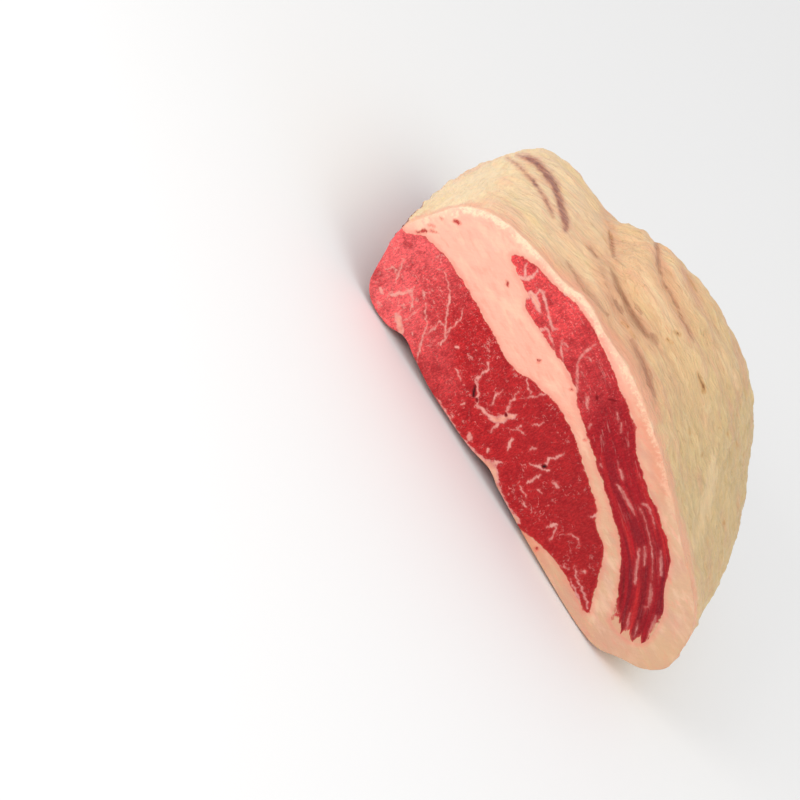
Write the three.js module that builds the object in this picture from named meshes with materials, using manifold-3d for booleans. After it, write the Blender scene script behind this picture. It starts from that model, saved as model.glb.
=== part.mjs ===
// Half of a raw beef brisket, cut straight through the middle, lying on its lean side with the fat cap up.
// Millimetres, +Z up, the thick end at -X. The solids are built with the cut face on the plane y = 0, which
// looks along -Y. The group then moves them, so that the origin is under the middle of the piece.
import * as THREE from 'three';
import { mergeVertices } from 'three/addons/utils/BufferGeometryUtils.js';
import Module from 'manifold-3d';

// ---- driving dimensions, mm ----
const CUT_HEIGHT = 114; // thickness of the piece at the cut face
const DEPTH = 168; // from the cut face back to the far end, where it is shortest
const DEPTH_EXTRA = 23; // how much further back it reaches towards the narrow end
const CORNER_EXTRA = 34; // how much further back the corner of the thick end reaches
const CAP_LIFT = 36; // rise of the fat cap behind the cut face
const SAG = 9; // how far the soft underside settles behind the cut edge, before it lies flat
const GAP = 0.4; // clearance between the fat and each muscle
const OVERSHOOT = 6; // how far a muscle's tube starts in front of the cut face

// ---- the cut face, drawn as (x, z) from the middle of the cut and the plane it lies on ----
const CUT_OUTLINE = [
  [-146, 43], [-144, 61], [-140, 79], [-131, 91], [-118, 99], [-104, 103], [-90, 106], [-73, 109],
  [-60, 114], [-40, 113], [-14, 113], [10, 109], [37, 102], [62, 93], [92, 81], [118, 71], [132, 61],
  [142, 45], [146, 32], [140, 20], [129, 12], [117, 3], [104, 0.5], [60, 1.5], [10, 5], [-3, 7],
  [-18, 4], [-37, 3], [-60, 3], [-80, 5.5], [-92, 7], [-103, 2], [-119, 2], [-128, 7], [-137, 22],
];
// The big flat muscle. It shows on the underside, so there its outline runs outside the body.
const FLAT_OUTLINE = [
  [-160, 41], [-144, 43], [-137, 50], [-127, 54.5], [-107, 57], [-78, 56], [-50, 54], [-31, 61],
  [-17, 64.5], [0, 64], [22, 58.5], [46, 50.5], [54, 45], [68, 41], [83, 27], [92, 17], [97, 10.5],
  [91, 9.5], [69, 11.5], [49, 8], [30, -1], [20, -14], [-140, -14], [-164, 12],
];
// The streaky point muscle, an island in the fat under the cap.
const POINT_OUTLINE = [
  [-102, 90], [-98, 96], [-76, 103], [-57, 108], [-30, 107.5], [-6, 102], [12, 99], [27, 91],
  [44, 85.5], [74, 79], [90, 73], [105, 59], [118, 49], [127, 30], [122, 23], [108, 20], [98, 30],
  [74, 49], [50, 58], [10, 69], [-9, 75], [-24, 80.5], [-72, 81], [-80, 86],
];

// ---- folds of the fat cap, drawn from above as (x, y) with y counted from the cut face ----
const FOLDS = [
  // A long dent that comes in from the far side, then turns along the cut edge.
  {
    path: [[-84, 130], [-78, 106], [-71, 87], [-61, 65], [-52, 50], [-39, 46], [-24, 46], [-8, 49], [6, 52]],
    depth: 6.5,
    width: 9.5,
  },
  // A soft dent that joins the long one from the thick end.
  { path: [[-98, 66], [-84, 60], [-70, 55], [-58, 50]], depth: 2.5, width: 9 },
  // A shorter crease over the middle of the cap.
  {
    path: [[-55, 110], [-50, 97], [-42, 85], [-32, 78], [-19, 76], [-6, 79], [10, 86], [26, 96]],
    depth: 4,
    width: 6.5,
  },
  // A shallow crease beyond it.
  { path: [[-32, 110], [-22, 106], [-10, 104], [4, 106], [16, 112]], depth: 2.5, width: 7 },
  // A dent where the cap falls away at the back.
  { path: [[24, 130], [34, 125], [46, 122], [58, 118]], depth: 3, width: 9 },
];
const LUMPS = [
  { x: -66, y: 103, height: 8.5, width: 12 },
  { x: -38, y: 62, height: 3, width: 12 },
  { x: -50, y: 74, height: 2, width: 12 },
  { x: -40, y: 98, height: 3, width: 10 },
  { x: 10, y: 128, height: 2, width: 28 },
  { x: 28, y: 101, height: 2, width: 8 },
  { x: 42, y: 108, height: 2, width: 8 },
  { x: 62, y: 70, height: 2, width: 26 },
  { x: -114, y: 58, height: 2, width: 22 },
];

// ---- how the body runs back from the cut face ----
const MIDDLE = { x: 8, z: 37 }; // the far end closes round this line
const WIDEST = { x: 61, width: 73 }; // where it reaches furthest back, and over how wide a stretch
const THICK_CORNER = { x: -146, width: 31 }; // the corner that reaches further back
const CAP_CREST = { x: 0, towardsThick: 82, towardsNarrow: 107 }; // where the cap rises, and how far to each side
const CAP_TOP = 0.83; // the cap has its full rise from here on, as a share of the depth
const SAG_END = 0.25; // the underside has settled by here
const RELIEF_START = 2; // behind the cut edge the folds begin, and reach their full depth
const RELIEF_FULL = 24;
const FLAT_END = 0.93; // where the muscles end, as a share of the depth
const POINT_END = 0.9;
const MUSCLE_SQUARENESS = 5;

const { clamp, smoothstep } = THREE.MathUtils;
const bump = (x, middle, width) => Math.exp(-(((x - middle) / width) ** 2));
const plateau = (x, middle, width) => Math.exp(-(((x - middle) / width) ** 4));
const closing = (share, power) => (1 - Math.min(1, share) ** power) ** (1 / power);

const atWidest = (x) => bump(x, WIDEST.x, WIDEST.width);
const atThickCorner = (x) => bump(x, THICK_CORNER.x, THICK_CORNER.width);
const depthAt = (x) => DEPTH + DEPTH_EXTRA * atWidest(x) + CORNER_EXTRA * atThickCorner(x);
const crestWidth = (x) => (x < CAP_CREST.x ? CAP_CREST.towardsThick : CAP_CREST.towardsNarrow);
const liftAt = (x) => CAP_LIFT * plateau(x, CAP_CREST.x, crestWidth(x));
// How blunt the far end is: 2 closes it as an ellipse, more as a squarer block.
const SQUARENESS = 2.4;
const SQUARER_AT = [{ x: -146, more: 2.2, width: 50 }, { x: 100, more: 1.6, width: 60 }];
function squarenessAt(x) {
  return SQUARER_AT.reduce((sum, end) => sum + end.more * bump(x, end.x, end.width), SQUARENESS);
}

const folds = FOLDS.map(({ path, depth, width }) => {
  const curve = new THREE.CatmullRomCurve3(path.map(([x, y]) => new THREE.Vector3(x, y, 0)));
  return { points: curve.getPoints(24), depth, width };
});

// Height of the lumps over the cap, less the depth of its folds. A fold runs out at both of its ends.
function reliefAt(x, y) {
  const raised = LUMPS.reduce((sum, lump) => {
    return sum + lump.height * bump(Math.hypot(x - lump.x, y - lump.y), 0, lump.width);
  }, 0);
  return folds.reduce((sum, { points, depth, width }) => {
    let deepest = 0;
    points.forEach((point, i) => {
      const strength = Math.sin(Math.PI * (i + 2) / (points.length + 3)) ** 0.5;
      const away = Math.hypot(x - point.x, y - point.y);
      deepest = Math.max(deepest, strength * depth * bump(away, 0, width));
    });
    return sum - deepest;
  }, raised);
}

// Takes a point of the cut face back into the piece: share 0 is the cut face and 1 the far end.
function place(x0, z0, share) {
  const back = Math.max(0, share);
  const taper = closing(back, squarenessAt(x0));
  const height = clamp(z0 / CUT_HEIGHT, 0, 1);
  const lift = height * liftAt(x0) * smoothstep(back, 0, CAP_TOP);
  const sag = (1 - height) * SAG * smoothstep(back, 0.01, SAG_END);
  const x = MIDDLE.x + (x0 - MIDDLE.x) * taper;
  const y = share * depthAt(x);
  const relief = height * reliefAt(x, y) * smoothstep(y, RELIEF_START, RELIEF_FULL);
  const z = MIDDLE.z + (z0 + lift + relief - sag - MIDDLE.z) * taper;
  return [x, y, z];
}

// ---- solids ----
const wasm = await Module();
wasm.setup();

function toSolid(geometry) {
  const bare = geometry.index ? geometry.toNonIndexed() : geometry.clone();
  bare.deleteAttribute('normal');
  bare.deleteAttribute('uv');
  const merged = mergeVertices(bare, 1e-3);
  return new wasm.Manifold(new wasm.Mesh({
    numProp: 3,
    vertProperties: new Float32Array(merged.attributes.position.array),
    triVerts: new Uint32Array(merged.index.array),
  }));
}

function toGeometry(solid) {
  const mesh = solid.getMesh();
  const geometry = new THREE.BufferGeometry();
  geometry.setAttribute('position', new THREE.BufferAttribute(new Float32Array(mesh.vertProperties), 3));
  geometry.setIndex([...mesh.triVerts]);
  return geometry;
}

// A closed smooth curve through the points, as 2-D points that run anticlockwise. piecesAt gives how many
// straight pieces each stretch between two points is made of, from the point (x, z) that it starts at.
function smoothOutline(points, piecesAt) {
  const curve = new THREE.CatmullRomCurve3(points.map(([x, z]) => new THREE.Vector3(x, z, 0)), true);
  const around = points.flatMap((start, i) => {
    const pieces = piecesAt(...start);
    return Array.from({ length: pieces }, (_, k) => {
      const point = curve.getPoint((i + k / pieces) / points.length);
      return new THREE.Vector2(point.x, point.y);
    });
  });
  return THREE.ShapeUtils.isClockWise(around) ? around.reverse() : around;
}

// The direction out of an anticlockwise outline at each of its points.
function outwardsOf(outline) {
  return outline.map((point, i) => {
    const along = outline[(i + 1) % outline.length].clone().sub(outline.at(i - 1)).normalize();
    return new THREE.Vector2(along.y, -along.x);
  });
}

// An outline swept back through the piece. toPoint takes (x, z, turn), with turn from 0 to 1 over the sweep.
function sweep(outline, steps, toPoint) {
  const shape = new THREE.Shape(outline);
  const geometry = new THREE.ExtrudeGeometry(shape, { depth: 1, steps, bevelEnabled: false });
  const position = geometry.attributes.position;
  for (let i = 0; i < position.count; i += 1) {
    position.setXYZ(i, ...toPoint(position.getX(i), position.getY(i), position.getZ(i)));
  }
  // The sweep runs along +Y where the extrusion ran along +Z, so every face is turned round.
  for (let i = 0; i < position.count; i += 3) {
    const first = new THREE.Vector3().fromBufferAttribute(position, i);
    const last = new THREE.Vector3().fromBufferAttribute(position, i + 2);
    position.setXYZ(i, last.x, last.y, last.z);
    position.setXYZ(i + 2, first.x, first.y, first.z);
  }
  return toSolid(geometry);
}

const BODY_STEPS = 34;
const LAST_TURN = 0.994; // the body ends in a small blunt face, just before its sections close up
const CROWDING = 0.92; // below 1 it crowds the sections together towards the far end
const CAP_FROM = 85; // above this height, and between these two x, the folds need closer points
const CAP_ENDS = [-100, 60];
const LARGER_THAN_BODY = 600;
function piecesOfBody(x, z) {
  if (z > CAP_FROM && x > CAP_ENDS[0] && x < CAP_ENDS[1]) return 5;
  return z > MIDDLE.z ? 3 : 2;
}
function body() {
  const whole = sweep(smoothOutline(CUT_OUTLINE, piecesOfBody), BODY_STEPS, (x, z, turn) => {
    const share = Math.sin(turn * LAST_TURN * Math.PI / 2) ** CROWDING;
    return place(x, z, share);
  });
  const size = LARGER_THAN_BODY;
  const above = new THREE.BoxGeometry(size, size, size).translate(0, 0, size / 2);
  return whole.intersect(toSolid(above));
}

const MUSCLE_STEPS = 13;
const BLUNTEST = 0.5; // a muscle's end face, as a share of its outline
const SAME_POINT = 1e-3;
function muscleTube(points, end, gap) {
  const outline = smoothOutline(points, () => 2);
  const outwards = outwardsOf(outline);
  const middle = outline.reduce((sum, p) => sum.add(p), new THREE.Vector2()).divideScalar(outline.length);
  const start = -OVERSHOOT / DEPTH;
  return sweep(outline, MUSCLE_STEPS, (x, z, turn) => {
    const along = start + (end - start) * Math.sin(turn * Math.PI / 2) ** 0.8;
    const narrowing = Math.max(BLUNTEST, closing(Math.max(0, along / end), MUSCLE_SQUARENESS));
    const narrowed = (dx, dz) => new THREE.Vector3(
      ...place(middle.x + (x + dx - middle.x) * narrowing, middle.y + (z + dz - middle.y) * narrowing, along),
    );
    const outward = outwards[outline.findIndex((p) => Math.hypot(p.x - x, p.y - z) < SAME_POINT)];
    const point = narrowed(0, 0);
    point.addScaledVector(narrowed(outward.x, outward.y).sub(point).normalize(), gap);
    point.y += gap / 2 * smoothstep(turn, 0.8, 1);
    return point.toArray();
  });
}

// ---- materials ----
const fatMaterial = new THREE.MeshStandardMaterial({ color: 0xe6cba6, roughness: 0.5, metalness: 0 });
const flatMaterial = new THREE.MeshStandardMaterial({ color: 0xbe3038, roughness: 0.42, metalness: 0 });
const pointMaterial = new THREE.MeshStandardMaterial({ color: 0xa82430, roughness: 0.42, metalness: 0 });

function node(name, solid, material) {
  const mesh = new THREE.Mesh(toGeometry(solid), material);
  mesh.name = name;
  return mesh;
}

const whole = body();
const flat = whole.intersect(muscleTube(FLAT_OUTLINE, FLAT_END, 0));
const point = whole.intersect(muscleTube(POINT_OUTLINE, POINT_END, 0));
const fat = whole
  .subtract(muscleTube(FLAT_OUTLINE, FLAT_END, GAP))
  .subtract(muscleTube(POINT_OUTLINE, POINT_END, GAP));

const box = new THREE.Box3().setFromBufferAttribute(toGeometry(whole).attributes.position);
const group = new THREE.Group();
group.position.set(-(box.min.x + box.max.x) / 2, -(box.min.y + box.max.y) / 2, 0);
group.add(node('fat', fat, fatMaterial));
group.add(node('flat_muscle', flat, flatMaterial));
group.add(node('point_muscle', point, pointMaterial));

export default group;
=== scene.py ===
"""Half of a raw beef brisket, cut straight through the middle, lying on its lean side."""
import math

import bmesh
import bpy
import numpy as np
from bpy.props import FloatProperty, FloatVectorProperty, IntProperty, PointerProperty
from mathutils import Matrix, Vector, noise
from mathutils.kdtree import KDTree


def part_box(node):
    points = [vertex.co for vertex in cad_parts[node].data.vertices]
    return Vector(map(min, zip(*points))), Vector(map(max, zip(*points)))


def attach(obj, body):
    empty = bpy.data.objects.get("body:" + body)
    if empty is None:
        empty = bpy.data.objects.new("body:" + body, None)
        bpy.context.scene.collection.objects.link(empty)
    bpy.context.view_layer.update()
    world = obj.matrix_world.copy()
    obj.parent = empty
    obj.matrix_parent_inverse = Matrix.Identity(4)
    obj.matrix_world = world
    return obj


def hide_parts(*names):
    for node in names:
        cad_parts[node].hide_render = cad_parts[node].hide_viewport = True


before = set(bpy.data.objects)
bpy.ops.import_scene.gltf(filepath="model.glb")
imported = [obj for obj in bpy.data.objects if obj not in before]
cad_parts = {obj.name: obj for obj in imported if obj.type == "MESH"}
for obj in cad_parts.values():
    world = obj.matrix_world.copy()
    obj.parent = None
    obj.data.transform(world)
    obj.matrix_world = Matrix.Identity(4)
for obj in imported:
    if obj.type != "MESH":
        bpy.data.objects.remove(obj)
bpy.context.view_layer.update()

bl_info = {
    "name": "Raw brisket half",
    "version": (1, 0, 0),
    "blender": (4, 5, 0),
    "location": "3D View > Sidebar > Brisket",
    "description": "Builds half of a raw brisket with its fat cap and two muscles",
    "category": "Object",
}

MM = 0.001
CUT_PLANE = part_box("fat")[0][1]  # where the cut face stands, along Y

# ---- the form, mm from the middle of the cut and the plane it lies on, as in the solids ----
CUT_HEIGHT = 114
THICK_END, NARROW_END = -146, 146
DEPTH = 168
DEPTH_EXTRAS = [(23, 61, 73), (34, THICK_END, 31)]  # where it is deeper: how much, middle x, width
CAP_LIFT, LIFT_WIDTHS, LIFT_DONE = 36, (82, 107), 0.83  # rise behind the cut, its widths, share of the depth
SAG, SAG_FROM, SAG_DONE = 9, 0.01, 0.25
SQUARENESS = 2.4
SQUARE_ENDS = [(2.2, THICK_END, 50), (1.6, 100, 60)]  # where the far side is squarer: how much, middle x, width
MIDDLE_X, MIDDLE_Z = 8, 37
CUT_OUTLINE = [
    (-146, 43), (-144, 61), (-140, 79), (-131, 91), (-118, 99), (-104, 103), (-90, 106), (-73, 109),
    (-60, 114), (-40, 113), (-14, 113), (10, 109), (37, 102), (62, 93), (92, 81), (118, 71), (132, 61),
    (142, 45), (146, 32), (140, 20), (129, 12), (117, 3), (104, 0.5), (60, 1.5), (10, 5), (-3, 7),
    (-18, 4), (-37, 3), (-60, 3), (-80, 5.5), (-92, 7), (-103, 2), (-119, 2), (-128, 7), (-137, 22),
]
FLAT_OUTLINE = [
    (-160, 41), (-144, 43), (-137, 50), (-127, 54.5), (-107, 57), (-78, 56), (-50, 54), (-31, 61),
    (-17, 64.5), (0, 64), (22, 58.5), (46, 50.5), (54, 45), (68, 41), (83, 27), (92, 17), (97, 10.5),
    (91, 9.5), (69, 11.5), (49, 8), (30, -1), (20, -14), (-140, -14), (-164, 12),
]
POINT_OUTLINE = [
    (-102, 90), (-98, 96), (-76, 103), (-57, 108), (-30, 107.5), (-6, 102), (12, 99), (27, 91),
    (44, 85.5), (74, 79), (90, 73), (105, 59), (118, 49), (127, 30), (122, 23), (108, 20), (98, 30),
    (74, 49), (50, 58), (10, 69), (-9, 75), (-24, 80.5), (-72, 81), (-80, 86),
]
# Folds of the cap from above, y from the cut face: depth, width, path.
FOLDS_FROM, FOLDS_FULL = 2, 24
FOLDS = {
    "long dent": (6.5, 9.5, [
        (-84, 130), (-78, 106), (-71, 87), (-61, 65), (-52, 50), (-39, 46), (-24, 46), (-8, 49), (6, 52)]),
    "thick end dent": (2.5, 9, [(-98, 66), (-84, 60), (-70, 55), (-58, 50)]),
    "short crease": (4, 6.5, [(-55, 110), (-50, 97), (-42, 85), (-32, 78), (-19, 76), (-6, 79), (10, 86), (26, 96)]),
    "far crease": (2.5, 7, [(-32, 110), (-22, 106), (-10, 104), (4, 106), (16, 112)]),
    "corner dent": (3, 9, [(24, 130), (34, 125), (46, 122), (58, 118)]),
}
# Lumps of the cap: x, y, height, width.
LUMPS = [
    (-66, 103, 8.5, 12), (-38, 62, 3, 12), (-50, 74, 2, 12), (-40, 98, 3, 10), (10, 128, 2, 28), (28, 101, 2, 8),
    (42, 108, 2, 8), (62, 70, 2, 26), (-114, 58, 2, 22),
]
# The muscles: the share of the depth where each ends, how squarely, and how thick it still is there.
FLAT_END, POINT_END = 0.93, 0.9
MUSCLE_SQUARENESS, BLUNTEST = 5, 0.5
MUSCLE_AROUND, MUSCLE_ROWS, MUSCLE_ROW_SPACING = 260, 34, 0.8
MUSCLE_FRONT = -10  # the tubes that cut the muscles out start in front of the cut face
# The rows of the skin: inset and depth of those on the rounded rim, depth of the first behind it, and the last.
RIM_ROWS = [(0.9, 0), (0.5, 0.08), (0.2, 0.25), (0.05, 0.5), (0, 1.0)]
FIRST_ROW, LAST_TURN = 2.2, 0.994
# Wrinkles of the skin: lengths along x, y and z, keep and shrink of each finer layer, layers, share of the height.
WRINKLES = [((34, 9, 9), 0.8, 2.1, 3, 0.9), ((15, 15, 15), 0.8, 2.1, 3, 0.6), ((13, 4.5, 4.5), 0.9, 2.2, 2, 1.1)]
NICKS, NICKS_REACH = ((2.8, 2.8, 2.8), 0.8, 2.1, 2, 0.5), 7  # small ones, only so far behind the rim
RIM_INSET, EDGE_POINTS = 12, 360  # how far the distance to the rim counts on the cut face, and its line
FAR = 4  # how far outside the strokes still counts
FLAT_WITHIN = 0.05  # the flat part of the cut face
ON_FRONT = 1.2  # what lies less far behind the cut face belongs to it
GRID_START = 0.37  # where the first plane of the grid lies on the cut face, in steps
SEAM_STEP = 0.3 * MM
SHARP_ANGLE = math.radians(42)

# ---- the camera: it looks at the cut face, rolled as the leaning piece was seen ----
TURN, ELEVATION, ROLL = math.radians(8), math.radians(27), math.radians(60.8)
DISTANCE = 2.45
AIM = Vector((-0.06194, CUT_PLANE, -0.016476))
LENS, SENSOR = 195.12, 36.0
FRAME_PIXELS = 800
FOCAL = LENS / SENSOR * FRAME_PIXELS
PIXEL = DISTANCE / FOCAL / MM  # mm on the object for a pixel of the picture
TO_CAMERA = Vector((
    -math.sin(TURN) * math.cos(ELEVATION), -math.cos(TURN) * math.cos(ELEVATION), math.sin(ELEVATION)))
LEVEL = Vector((math.cos(TURN), -math.sin(TURN), 0))
UPRIGHT = TO_CAMERA.cross(LEVEL)
RIGHT = LEVEL * math.cos(ROLL) + UPRIGHT * math.sin(ROLL)
UP = UPRIGHT * math.cos(ROLL) - LEVEL * math.sin(ROLL)
EYE = AIM + TO_CAMERA * DISTANCE

# ---- the stage, m ----
FLOOR_HALF, FLOOR_DROP = 9, 0.0005
ROOM_LIGHT = 0.8

# ---- marks on the cut face, each point (x, y, half width) in pixels of the 800-pixel picture ----
FLAT_VEINS = {
    "small arch": [(387, 269, .7), (392, 267, .9), (396, 270, .9), (397, 275, .6)],
    "arch stem": [(404, 259, .7), (401, 267, .9), (398, 274, .8), (396, 282, .5)],
    "round spot": [(381, 290, 2.2), (382, 292, 2.4)],
    "short dash": [(386, 299, .5), (389, 294, .7), (392, 290, .4)],
    "pale bar": [(392, 295, 1.6), (402, 293, 2.2), (409, 292, 2.0), (413, 289, 1.4), (415, 287, .7)],
    "bar tail": [(412, 294, 1.3), (412.5, 303, .9), (411, 311, .5)],
    "broad patch": [(396, 314, 2.0), (399, 320, 3.6), (400, 327, 3.6), (401, 334, 2.6)],
    "patch hair": [(405, 304, .4), (402, 309, .7), (399, 314, .6)],
    "slanting hair": [(420, 308, .4), (412, 315, .6), (404, 321, .4)],
    "upright blot": [(423, 290, .7), (423.5, 295, 1.4), (424, 299, .6)],
    "long left vein": [(426, 303, .7), (425, 313, 1.2), (427, 322, .9), (425, 332, 1.0), (421, 342, 1.1),
                       (418, 354, .8), (417, 364, .4)],
    "vein thread": [(444, 271, .3), (448, 283, .6), (450, 294, .9)],
    "main vein": [(450, 294, 1.2), (448, 305, 1.1), (447, 315, 1.1), (445, 327, 1.2), (446, 334, 1.0),
                  (443, 342, 1.3), (440, 345, .8)],
    "left fork": [(424, 335, .5), (428, 333, .8), (434, 329, .9), (438, 323, .8), (441, 322, .9), (445, 327, .8)],
    "right fork": [(446, 333, .9), (455, 325, .7), (461, 318, .7), (463, 309, .4)],
    "bright fleck": [(456, 346, 1.2), (458, 347, 1.0)],
    "low fleck": [(412, 333, .9), (413, 335, .8)],
    "centre vein top": [(488, 362, .7), (488, 369, .9), (481, 375, 1.1), (476, 380, 1.2), (478, 389, 1.0),
                        (478, 397, 1.2), (477, 405, 1.6), (483, 410, 2.0), (489, 416, 2.0), (494, 421, 1.6)],
    "centre patch": [(487, 415, 1.2), (494, 419, 3.2), (500, 420, 4.2), (506, 417, 3.8), (512, 416, 3.0),
                     (516, 416, 1.2)],
    "patch tail": [(497, 424, 2.4), (494, 428, 1.2), (491, 432, .5)],
    "upper sprig": [(507, 411, 1.2), (510, 403, .9), (514, 399, 1.1), (515, 396, .7), (518, 391, .7)],
    "side sprig": [(491, 406, .5), (494, 400, .9), (497, 394, .9), (502, 391, .6)],
    "seam sprig": [(527, 379, .4), (528, 387, .7), (531, 392, .8), (530, 397, .9), (526, 398, .6)],
    "seam thread": [(530, 397, .8), (538, 396, .7), (543, 394, .8), (548, 393, .6)],
    "arc": [(455, 369, .5), (459, 374, .9), (460, 380, .8)],
    "faint thread": [(531, 425, .4), (538, 425, .6), (544, 423, .3)],
    "y mark": [(511, 430, .6), (517, 429, 1.0), (521, 432, .9), (523, 433, .4)],
    "y arm": [(517, 430, .6), (520, 427, .8), (521, 425, .4)],
    "leaf": [(513, 439, .9), (510, 443, 1.9), (508, 447, 1.4), (508, 451, .5)],
    "oval": [(470, 434, 1.8), (469.5, 437, 2.4), (469, 440, 1.6)],
    "dash": [(530, 450, .7), (533, 448.5, 1.2), (536, 448, .6)],
    "left of the hole": [(529, 463, .5), (534, 466, 1.1), (540, 466, 1.6), (542, 469, 2.0)],
    "right of the hole": [(546, 464, 1.6), (549, 459, 1.2), (554, 458, 1.1), (559, 457, 1.2), (564, 453, .7)],
    "under the hole": [(545, 470, 1.6), (549, 470, .8)],
    "low vein": [(540, 474, .6), (537, 477, 1.1), (532, 480, 1.6), (528, 483, 1.0)],
    "triangle": [(553, 483, 1.1), (556, 484, 2.0), (557, 487, 1.5)],
    "speck a": [(488, 450, 1.5), (488, 452, 1.2)],
    "speck b": [(462, 405, 1.0), (464, 403, .8)],
    "speck c": [(452, 415, 1.0), (452, 417, .8)],
    "wedge": [(513, 361, 1.6), (514, 366, 1.1), (513, 371, .4)],
    "low bar": [(547, 527.5, .7), (552, 525, 1.7), (557, 525, .9)],
    "low bar tail": [(556, 528, .9), (553, 536, 1.1), (549, 540, .5)],
    "tick": [(567, 534, .4), (572, 535, .8), (577, 538, 1.1), (580, 544, .6)],
    "tip streak": [(575, 565, .6), (576, 578, .9), (581, 587, 1.2), (585, 597, 1.3), (588, 608, .9)],
    "tip side streak": [(569, 578, .5), (575, 590, 1.0), (579, 600, 1.3), (581, 608, .8)],
    "tip speck": [(584, 571, 1.6), (585, 573, 1.2)],
    "rim speck": [(564, 566, 1.2), (566, 568, .8)],
    "lone speck": [(539, 490, 1.3), (541, 493, .8)],
    "crumb": [(524, 504, 1.3), (526, 506, .9)],
    "crumb hair": [(520, 487, .4), (524, 493, .7), (526, 497, .4)],
    "seam notch": [(602, 515, 3.2), (597, 516, 2.2), (590, 517, .8)],
    "seam fray": [(592, 470, 1.4), (587, 469, .9), (583, 470, .4)],
    "lean rim": [(437, 398, .4), (445, 411, 1.4), (453, 425, 1.0), (462, 439, 1.0), (472, 449, 1.6), (481, 460, 3.8),
                 (488, 464, 5.0), (493, 471, 5.5), (494, 480, 4.2), (500, 494, 2.8), (508, 509, 2.2), (517, 521, 3.2)],
    "rim hook": [(488, 464, 3.0), (496, 463, 2.4), (501, 462, 1.2)],
    "rim curl": [(494, 480, 2.6), (499, 482, 1.4), (502, 484, .5)],
}
POINT_VEINS = {
    "cross bar": [(516, 276, 1.6), (522, 278, 2.0), (528, 279, 2.4), (533, 276, 2.0), (536, 273, .8)],
    "cross arm": [(525, 277, 1.4), (525, 269, 1.0), (527, 263, .8)],
    "cross twig": [(533, 276, 1.0), (538, 271, .8), (538, 268, .4)],
    "left bay": [(526, 297, 2.6), (531, 293, 2.6), (534, 297, 3.4), (536, 302, 3.4), (538, 307, 3.0), (540, 312, 1.2)],
    "left bay mouth": [(518, 298, 3.0), (523, 297, 3.0), (528, 297, 2.6)],
    "long white line": [(540, 290, 1.3), (543, 294, 1.8), (545, 300, 1.4), (547, 308, 1.2), (549, 316, 1.2),
                        (551, 324, 1.5), (553, 329, 1.8), (557, 329, 1.1)],
    "line cap": [(537, 294, .9), (540, 291, 1.3), (545, 292, .9)],
    "island line": [(546, 328, 1.6), (549, 333, 1.4), (551, 339, 1.3), (554, 346, 1.0)],
    "island mouth": [(541, 330, 2.4), (545, 329, 1.6)],
    "small fork": [(562, 341, 1.2), (561, 348, 1.0), (562, 356, .8), (563, 361, .5)],
    "fork arm": [(562, 342, 1.4), (566, 345, 1.2), (568, 347, .5)],
    "curved line": [(596, 344, .9), (589, 349, 1.4), (582, 355, 1.4), (578, 362, 1.1), (577.5, 370, 1.5),
                    (577, 380, 1.6), (577, 388, 1.8), (575, 393, 2.2)],
    "side twig": [(585, 357, .5), (588, 357, .9), (591, 361, .7)],
    "pale lobe": [(566, 293, 2.6), (573, 296, 3.0), (578, 301, 2.4)],
    "seed": [(588, 397, 1.3), (587.5, 403, 2.0), (587, 408, 1.0)],
    "seed below": [(591, 424, .8), (589, 428, 1.2)],
    "spark": [(600, 464, .7), (602, 467, 1.2)],
    "hair a": [(621, 423, .6), (621, 432, .8)],
    "hair b": [(617, 412, .4), (618, 419, .6)],
    "spark pair": [(620, 470, .9), (622, 475, 1.4), (623, 480, .8)],
    "white dart": [(617, 485, .8), (621, 489, 1.6), (625, 497, 2.1), (630, 505, 1.8), (635, 515, .7)],
    "knot": [(643, 504, 1.2), (647, 505, 1.6), (650, 510, 1.0)],
    "knot tail": [(649, 509, .6), (653, 519, .6), (655, 528, .4)],
    "thin line": [(640, 508, .4), (645, 520, .5), (649, 535, .5), (652, 550, .6), (652.5, 565, .6), (652, 580, .5)],
    "long dart": [(639, 549, .7), (638, 560, 1.5), (636, 572, 1.6), (635, 584, .8)],
    "short dart": [(645, 547, 1.0), (645, 556, 1.5), (644, 565, .8)],
    "outer dart": [(661, 551, .9), (661, 563, 1.9), (661, 575, 1.0)],
    "low dart": [(651, 584, 1.0), (651, 594, 2.1), (649, 604, 1.6)],
    "low knot": [(645, 607, 1.3), (648, 607, .9)],
    "tip dart": [(630, 613, .9), (628, 622, 1.8), (626, 631, 1.0)],
    "tip hair": [(638, 622, .5), (636, 630, .9), (634, 637, .4)],
    "tip bay": [(616, 606, .8), (614, 612, 2.0), (611, 620, 4.5)],
    "far tip bay": [(656, 616, .7), (654, 624, 2.4), (652, 634, 4.0)],
}
# Vessels and wet hollows in the cut.
FLAT_HOLES = {
    "red hollow": [(475, 386, .8), (474, 391, 1.6), (473.5, 396, 1.4)],
    "violet dot": [(477, 399, .9), (477, 401, .9)],
    "vessel": [(506, 414.5, 1.2), (506, 415.5, 1.2)],
    "open vessel": [(543.5, 466.5, 1.9), (545, 466.5, 1.9)],
}
POINT_HOLES = {
    "upper pore": [(597, 397, 1.1), (597, 399, 1.1)],
    "slit": [(609, 399.5, .6), (613, 400.5, 1.0), (616, 401, .5)],
}
FAT_SPOTS = {
    "top slit": [(417, 232, .7), (422, 232, 1.8), (426, 230.5, 1.3)],
    "top dots": [(429, 225, .9), (433, 226, .7)],
    "top dots below": [(430, 231, .8), (434, 232, .9), (437, 232, .5)],
    "red comma": [(454.5, 220.5, 1.3), (457, 222.5, 1.6), (461, 223, .5)],
    "lone dot": [(441, 218, .8), (441, 219, .6)],
    "seam mark": [(506, 280, .5), (507.5, 284, .9), (508, 286, .5)],
    "seam dot": [(538, 361, 1.2), (540, 361, 1.0)],
    "dark dot": [(571, 389, 1.2), (571, 390, 1.2)],
    "low dot": [(584, 440, 1.0), (585, 440, .8)],
    "brown spot": [(536, 548, 1.8), (537, 549, 1.5)],
}
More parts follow.
